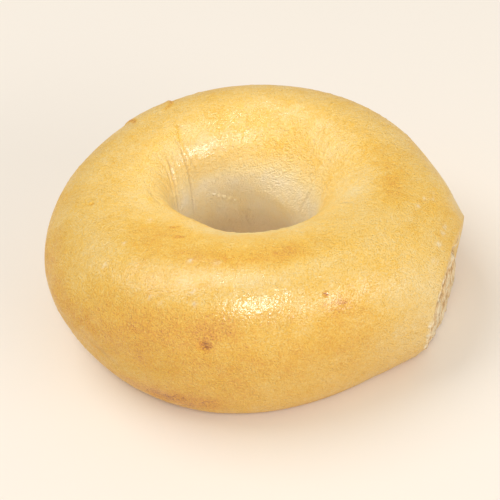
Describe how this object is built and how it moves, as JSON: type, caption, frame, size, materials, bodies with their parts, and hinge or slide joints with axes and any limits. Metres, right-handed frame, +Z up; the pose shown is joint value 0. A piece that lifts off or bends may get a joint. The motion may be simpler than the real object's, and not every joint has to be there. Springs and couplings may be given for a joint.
{
  "type": "bagel",
  "caption": "Plain round bagel: a fat golden crust ring round an open hole, flat underneath, with one side torn flat where it baked against a neighbour.",
  "frame": {"origin": "on the plane that the base rests on, under the middle of the outer box", "axes": "+Z up through the hole, -Y towards the front of the bagel, and +X towards the side that swells into the torn stump"},
  "size_m": [0.1184, 0.115, 0.0469],
  "materials": {
    "crust": "smooth boiled and baked crust, golden yellow with deeper golden-brown patches and a soft gloss, cream inside the hole, and matt beige crumb on the torn side"
  },
  "bodies": {
    "root": {"bagel": "crust"}
  },
  "joints": []
}
